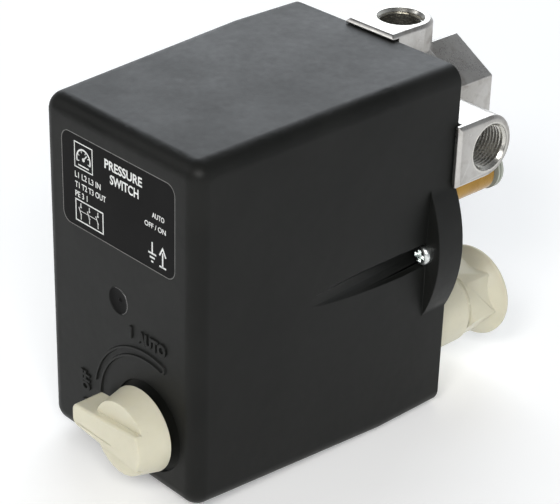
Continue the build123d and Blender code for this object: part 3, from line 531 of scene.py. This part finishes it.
def label_print():
    """White print on the label: a gauge symbol, plain words, terminal rows and a contact symbol."""
    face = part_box("rating_label")[0].y / MM + CAD_ORIGIN.y
    depth = dict(front=face - 0.03, back=face + 0.02)
    title, small = 0.022, 0.012  # extra weight of the letters
    shape = bmesh.new()

    def line(path, half, closed=False):
        ribbon(shape, path, half, half, depth["front"], depth["back"], closed)

    def frame_box(left, right, low, high, half):
        line([(left, low), (right, low), (right, high), (left, high)], half, True)

    def words(text, left, right, baseline, height, weight):
        lettering(shape, text, (left, right), (baseline, baseline + height), weight=weight, **depth)

    words("PRESSURE", -6.0, 12.3, 46.0, 3.3, title)
    words("SWITCH", -3.4, 10.6, 41.4, 3.3, title)
    words("L1 L2 L3 IN", -21.3, -8.2, 37.3, 2.1, small)
    words("T1 T2 T3 OUT", -21.3, -5.7, 33.8, 2.1, small)
    words("PE 3 1", -21.3, -15.1, 30.5, 2.1, small)
    words("AUTO", 17.0, 22.8, 37.9, 1.8, small)
    words("OFF / ON", 13.4, 23.5, 34.0, 1.8, small)

    # Gauge: frame, scale with ticks, needle, hub and base line.
    frame_box(-21.2, -12.2, 41.1, 49.8, 0.18)
    hub_x, hub_z = hub = (-16.7, 44.6)
    line(list(arc_points(hub, 3.4, 200.0, -20.0, 28)), 0.28)
    for tick_deg in range(200, -21, -44):
        tick = math.radians(tick_deg)
        line([(hub_x + reach * math.cos(tick), hub_z + reach * math.sin(tick)) for reach in (2.3, 3.2)], 0.14)
    line([hub, (hub_x + 1.7, hub_z + 1.9)], 0.22)
    line(circle_points(hub, 0.35, 16), 0.3, True)
    line([(-19.4, 42.2), (-14.0, 42.2)], 0.22)

    # Contact symbol: three open contacts on one link.
    frame_box(-21.2, -7.3, 22.1, 29.5, 0.22)
    for x in (-18.6, -14.25, -9.9):
        line([(x, 22.9), (x, 24.7), (x - 1.1, 27.0)], 0.17)
        line([(x, 27.3), (x, 28.7)], 0.17)
        line(circle_points((x, 24.7), 0.22, 12), 0.16, True)
        line(circle_points((x, 27.3), 0.22, 12), 0.16, True)
    line([(-19.4, 25.9), (-10.6, 25.9)], 0.1)

    # Earth symbol, then an up arrow on a foot.
    earth_x, arrow_x = 17.0, 22.0
    line([(earth_x, 25.6), (earth_x, 29.3)], 0.3)
    for drop, half_width in ((0.0, 1.9), (1.4, 1.2), (2.8, 0.5)):
        line([(earth_x - half_width, 25.3 - drop), (earth_x + half_width, 25.3 - drop)], 0.3)
    line([(arrow_x, 22.2), (arrow_x, 27.4)], 0.3)
    line([(arrow_x - 1.5, 26.2), (arrow_x, 28.9), (arrow_x + 1.5, 26.2)], 0.3)
    line([(arrow_x - 1.6, 22.4), (arrow_x + 1.6, 22.4)], 0.3)
    finished_piece("label_print", shape, "rating_label", print_ink(), 20.0)


FILM_CORNER = 3.7
FILM_GAP = 0.1  # between the label and the rim of its recess


def label_edge_highlight():
    """Cut edge of the label film, pressed against the rim of its recess, in a light grey that paints the
    highlight along the rim.
    """
    low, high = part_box("rating_label")
    left, right = low.x / MM - FILM_GAP, high.x / MM + FILM_GAP
    bottom, top = low.z / MM + CAD_ORIGIN.z - FILM_GAP, high.z / MM + CAD_ORIGIN.z + FILM_GAP
    path = []
    for x, z, start_deg in ((right - FILM_CORNER, top - FILM_CORNER, 90.0),
                            (right - FILM_CORNER, bottom + FILM_CORNER, 0.0),
                            (left + FILM_CORNER, bottom + FILM_CORNER, -90.0),
                            (left + FILM_CORNER, top - FILM_CORNER, -180.0)):
        path += list(arc_points((x, z), FILM_CORNER, start_deg, start_deg - 90.0, 10))
    shape = bmesh.new()
    front = low.y / MM + CAD_ORIGIN.y
    ribbon(shape, path, 0.19, 0.12, front - 0.06, front + 0.1, closed=True)
    finished_piece("label_edge_highlight", shape, "rating_label", edge_highlight_film(), 20.0)


DIMPLE_CENTRE = (0.0, 1.0)
# Radius and depth, from the gate's stub out to the dimple's edge, and back under it.
DISH_PROFILE = (
    (0.25, 0.42), (0.55, 0.46), (0.75, 0.70), (1.5, 0.72), (3.0, 0.62),
    (4.1, 0.42), (4.62, 0.18), (4.66, 0.79), (0.25, 0.79),
)
RIM_RADIUS = 4.5
RIM_DEPTH = 0.12
RIM_THICKNESS = 0.26
RIM_START_DEG = -75.0
RIM_SWEEP_DEG = 190.0
RIM_STEPS = 48


def dimple_dish():
    """Moulding gate recess: a shallow dish, with the gate's stub in the middle, in the duller label black
    that paints the shade inside the recess.
    """
    shape = bmesh.new()
    loops = [[row_point(x, depth, z) for x, z in circle_points(DIMPLE_CENTRE, radius, 64)]
             for radius, depth in DISH_PROFILE]
    add_ring(shape, loops, True)
    # The duller label black paints the shade inside the recess.
    finished_piece("dimple_dish", shape, "cover", PAINTS["label_film"])


def dimple_rim_highlight():
    """Glossy roll along the dimple's edge, which thins out towards both ends; its black is lighter than the
    cover's and paints the highlight on the rim.
    """
    shape = bmesh.new()
    loops = []
    for step in range(1, RIM_STEPS):
        along = math.radians(RIM_START_DEG + RIM_SWEEP_DEG * step / RIM_STEPS)
        thick = RIM_THICKNESS * math.sin(math.pi * step / RIM_STEPS) ** 0.5
        loops.append([])
        for turn_deg in range(0, 360, 45):
            reach = RIM_RADIUS + thick * math.cos(math.radians(turn_deg))
            depth = RIM_DEPTH + thick * math.sin(math.radians(turn_deg))
            x = DIMPLE_CENTRE[0] + reach * math.cos(along)
            z = DIMPLE_CENTRE[1] + reach * math.sin(along)
            loops[-1].append(row_point(x, depth, z))
    add_ring(shape, loops, False)
    # Lighter, glossier black than the cover: a painted highlight on the rim.
    highlight_black = moulded_black("gate_rim_highlight", (0.05, 0.05, 0.048), (0.07, 0.07, 0.068),
                             grain=0.000002, rough=(0.16, 0.24), shine=0.8, wear_and_highlight=0.0)
    finished_piece("dimple_rim_highlight", shape, "cover", highlight_black, 60.0)


# ---------------------------------------------------------------- threads
# Pitch, depth of the thread and width of the mouth's chamfer, in millimetres, by mount.
THREADS = {
    "main_port": (1.814, 1.162, 0.7),
    "top_port": (1.337, 0.856, 0.15),
    "right_port": (1.337, 0.856, 0.15),
    "left_port": (1.337, 0.856, 0.15),
}
LEAD = 0.75            # of the pitch: plain length at the mouth
TURN_STEPS = 96
FADE_STEPS = 20        # over which the ridge rises at its start and sinks at its end
CREST_HALF = 0.1       # of the pitch: half the width of the ridge's crest
ROOT_HALF = 0.47       # of the pitch: half the width of the ridge's root
ROOT_SINK = 0.02 * MM  # root below the bore's wall
COLLAR = 0.015         # millimetres that the mouth's collar stands proud


def pipe_thread(name, pitch, thread_depth, chamfer, metal):
    """Helical ridge and lead-in ring of one female pipe thread, from its mount."""
    mount = MOUNTS[name]
    major = mount["dims"]["r_mm"] * MM
    minor = major - thread_depth * MM
    length = mount["dims"]["length_mm"] * MM
    pitch *= MM
    out = Vector(mount["axis"])
    mouth = Vector(mount["pos_m"])
    first = out.orthogonal().normalized()
    second = out.cross(first)
    shape = bmesh.new()

    def spot(radius, angle, inward):
        return mouth - out * inward + radius * (math.cos(angle) * first + math.sin(angle) * second)

    lead = LEAD * pitch
    rim = major + chamfer * MM
    top = -(chamfer + COLLAR) * MM
    outside = rim + 0.6 * MM
    profile = ((outside, top), (rim + 0.05 * MM, top), (minor + 0.12 * MM, lead), (outside, lead + 0.2 * MM))
    ring = [[spot(radius, 2 * math.pi * index / TURN_STEPS, inward) for radius, inward in profile]
            for index in range(TURN_STEPS)]
    add_ring(shape, ring, True)
    count = int((length - 2 * lead) / pitch * TURN_STEPS)
    root = major + ROOT_SINK
    helix = []
    for index in range(count + 1):
        angle = -2 * math.pi * index / TURN_STEPS
        inward = lead + pitch * index / TURN_STEPS
        rise = min(1.0, (index + 1) / FADE_STEPS, (count - index + 1) / FADE_STEPS)
        crest = major - rise * (major - minor)
        ridge = ((root, -ROOT_HALF), (crest, -CREST_HALF), (crest, CREST_HALF), (root, ROOT_HALF))
        helix.append([spot(radius, angle, inward + shift * pitch) for radius, shift in ridge])
    add_ring(shape, helix, False)
    finished_piece(f"thread_{name}", shape, "pressure_flange", metal, 25.0)


# ---------------------------------------------------------------- rounded CAD nodes
# Edges in these regions are out of sight, or too tight for a bevel.
PASSAGE_RADIUS, PASSAGE_BACK = 13 * MM, -1 * MM
CHAMBER_RADIUS, CHAMBER_BACK = 23 * MM, -41 * MM
LEDGE_HALF_WIDTH = 39.2 * MM
LEDGE_FRONT, LEDGE_BACK = -56 * MM, -44.5 * MM
SHOULDER_PLACE, SHOULDER_REACH = -21.9 * MM, 0.3 * MM


def inside_flange(point):
    """True in the flange's pressure chamber and passages, where nothing is seen."""
    radius = math.hypot(point.x, point.z)
    in_passage = radius < PASSAGE_RADIUS and point.y < PASSAGE_BACK
    return in_passage or (radius < CHAMBER_RADIUS and point.y < CHAMBER_BACK)


def inside_cover(point):
    """True on the ledge and rim inside the cover's open back."""
    return abs(point.x) < LEDGE_HALF_WIDTH and LEDGE_FRONT < point.y < LEDGE_BACK


def nut_shoulder(point):
    """True where a gland nut's hexagon meets its round neck."""
    return abs(point.y - SHOULDER_PLACE) < SHOULDER_REACH


KEPT_SHARP = {
    "cover": inside_cover,
    "pressure_flange": inside_flange,
    "gland_nut_right": nut_shoulder,
    "gland_nut_left": nut_shoulder,
}
# Bevel widths in millimetres.
ROUNDED = {
    "cover": 0.3,
    "knob": 0.3,
    "pressure_flange": 0.3,
    "gland_body_right": 0.25,
    "gland_body_left": 0.25,
    "gland_nut_right": 0.25,
    "gland_nut_left": 0.25,
    "relief_valve_body": 0.15,
}


# ---------------------------------------------------------------- soft pieces
SECTORS = 12
SECTOR_STEPS = 6
SHEET_HOLE = 0.6 * MM
SHEET_RADII = [SHEET_HOLE, 7 * MM] + [(14 + 0.275 * step) * MM for step in range(9)]


def setting_spring(node):
    """Copy of the coil in the node's material; in the switch the coil is pressed by its setting seat and
    stands on the lever at its other end.
    """
    source = NODES[node]
    obj = linked(node + "_coil", source.data.copy())
    obj.matrix_world = source.matrix_world.copy()
    paint(obj, PAINTS[SLOT_OF[node]])
    stand_for(node)
    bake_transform(obj)


def diaphragm_sector(index):
    """One flat sector of the rubber sheet; in the switch its middle moves with the piston and its rim is
    clamped.
    """
    low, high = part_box("diaphragm")
    centre = (low + high) / 2
    radii = SHEET_RADII + [(high.x - low.x) / 2]
    steps = range(SECTOR_STEPS)
    shape = bmesh.new()

    def spot(radius, step, y):
        angle = 2 * math.pi * (index + step / SECTOR_STEPS) / SECTORS
        return shape.verts.new((centre.x + radius * math.cos(angle), y, centre.z + radius * math.sin(angle)))

    sheets = [[[spot(radius, step, y) for step in range(SECTOR_STEPS + 1)] for radius in radii]
              for y in (low.y, high.y)]
    for sheet in sheets:
        for inner, outer in zip(sheet, sheet[1:]):
            for step in steps:
                shape.faces.new((inner[step], inner[step + 1], outer[step + 1], outer[step]))
    front, back = sheets
    for end in (0, -1):
        for step in steps:
            after = step + 1
            shape.faces.new((front[end][step], front[end][after], back[end][after], back[end][step]))
        for ring in range(len(radii) - 1):
            shape.faces.new((front[ring][end], front[ring + 1][end], back[ring + 1][end], back[ring][end]))
    bmesh.ops.recalc_face_normals(shape, faces=shape.faces)
    name = f"diaphragm_{index + 1}"
    mesh = bpy.data.meshes.new(name)
    shape.to_mesh(mesh)
    shape.free()
    obj = linked(name, mesh)
    paint(obj, PAINTS[SLOT_OF["diaphragm"]])
    stand_for("diaphragm")
    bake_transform(obj)


# ---------------------------------------------------------------- stage
FLOOR_HALF = 3.0
FLOOR_GAP = 0.0002
MIDDLE = (0.0, -0.08, -0.03)
FLOOR_LEFT = (-0.22, -0.45, CAD_LOW.z)
# Place, target, size, power in watts and tint, by light.
LIGHTS = {
    "key_right": ((0.82, -0.70, 0.72), MIDDLE, (0.40, 0.30), 6.0, (1.0, 1.0, 1.0)),
    "key_left": ((0.50, -0.98, 0.78), MIDDLE, (0.30, 0.30), 5.8, (1.0, 0.98, 0.94)),
    "front_left": ((-0.55, -0.80, 0.55), FLOOR_LEFT, (0.5, 0.5), 2.0, (1.0, 1.0, 1.0)),
    "back_left": ((-1.05, 0.95, 0.75), MIDDLE, (1.4, 1.0), 15.0, (0.90, 0.95, 1.0)),
}
SKY = (0.93, 0.96, 1.0, 1.0)


def area_light(name, place, target, size, power, tint):
    light = bpy.data.lights.new(name, "AREA")
    light.shape = "RECTANGLE"
    light.size, light.size_y = size
    light.energy = power
    light.color = tint
    obj = linked(name, light)
    obj.location = place
    obj.rotation_euler = (Vector(target) - Vector(place)).to_track_quat("-Z", "Y").to_euler()


def build_floor():
    mesh = bpy.data.meshes.new("floor")
    level = CAD_LOW.z - FLOOR_GAP
    corners = [(x * FLOOR_HALF, y * FLOOR_HALF, level) for x, y in ((-1, -1), (1, -1), (1, 1), (-1, 1))]
    mesh.from_pydata(corners, [], [(0, 1, 2, 3)])
    floor = linked("floor", mesh)
    paint(floor, floor_paint())


def build_world():
    """Pale studio surround: bright low down and behind the object, dim above and in front of it."""
    world = bpy.data.worlds.new("studio")
    world.use_nodes = True
    tree = world.node_tree
    split = tree.nodes.new("ShaderNodeSeparateXYZ")
    direction = tree.nodes.new("ShaderNodeTexCoord").outputs["Generated"]
    tree.links.new(direction, split.inputs["Vector"])
    both = tree.nodes.new("ShaderNodeMath")
    both.operation = "MULTIPLY"
    tree.links.new(map_range(tree, split.outputs["Z"], (0.0, 0.8), (1.0, 0.22)), both.inputs[0])
    tree.links.new(map_range(tree, split.outputs["Y"], (-0.4, 0.5), (0.22, 0.95)), both.inputs[1])
    background = tree.nodes["Background"]
    background.inputs["Color"].default_value = SKY
    tree.links.new(both.outputs["Value"], background.inputs["Strength"])
    bpy.context.scene.world = world
    bpy.context.scene.view_settings.view_transform = "Standard"


# Camera, solved from the photographed cover's edges.
AZIMUTH_DEG = 46.4468
ELEVATION_DEG = 27.8476
ROLL_DEG = 1.5968
LENS_MM = 120.32
SENSOR_MM = 36.0
SHIFT = (0.01306, -0.04228)
DISTANCE = 0.598
AIM = Vector((0.0246, -0.1107, -0.0103))


def build_camera():
    azimuth = math.radians(AZIMUTH_DEG)
    elevation = math.radians(ELEVATION_DEG)
    forward = Vector((-math.sin(azimuth) * math.cos(elevation),
                      math.cos(azimuth) * math.cos(elevation),
                      -math.sin(elevation)))
    data = bpy.data.cameras.new("camera")
    data.lens = LENS_MM
    data.sensor_width = SENSOR_MM
    data.shift_x, data.shift_y = SHIFT
    camera = linked("camera", data)
    turn = forward.to_track_quat("-Z", "Y") @ Matrix.Rotation(math.radians(ROLL_DEG), 3, "Z").to_quaternion()
    camera.rotation_euler = turn.to_euler()
    camera.location = AIM - DISTANCE * forward
    bpy.context.scene.camera = camera


# ---------------------------------------------------------------- the model
paint_frame()
for node, width in ROUNDED.items():
    rounded_copy(node, width * MM, PAINTS[SLOT_OF[node]], KEPT_SHARP.get(node))
raised_marks()
label_print()
label_edge_highlight()
dimple_dish()
dimple_rim_highlight()
cut_metal = cast_alloy("cut_thread", (0.50, 0.49, 0.42), (0.64, 0.62, 0.54),
                       stain=(0.30, 0.27, 0.20), spots=0.3, rough=(0.22, 0.34))
for port, sizes in THREADS.items():
    pipe_thread(port, *sizes, cut_metal)
setting_spring("main_spring")
setting_spring("differential_spring")
for sector in range(SECTORS):
    diaphragm_sector(sector)
build_floor()
for light_name, light_facts in LIGHTS.items():
    area_light(light_name, *light_facts)
build_world()
build_camera()
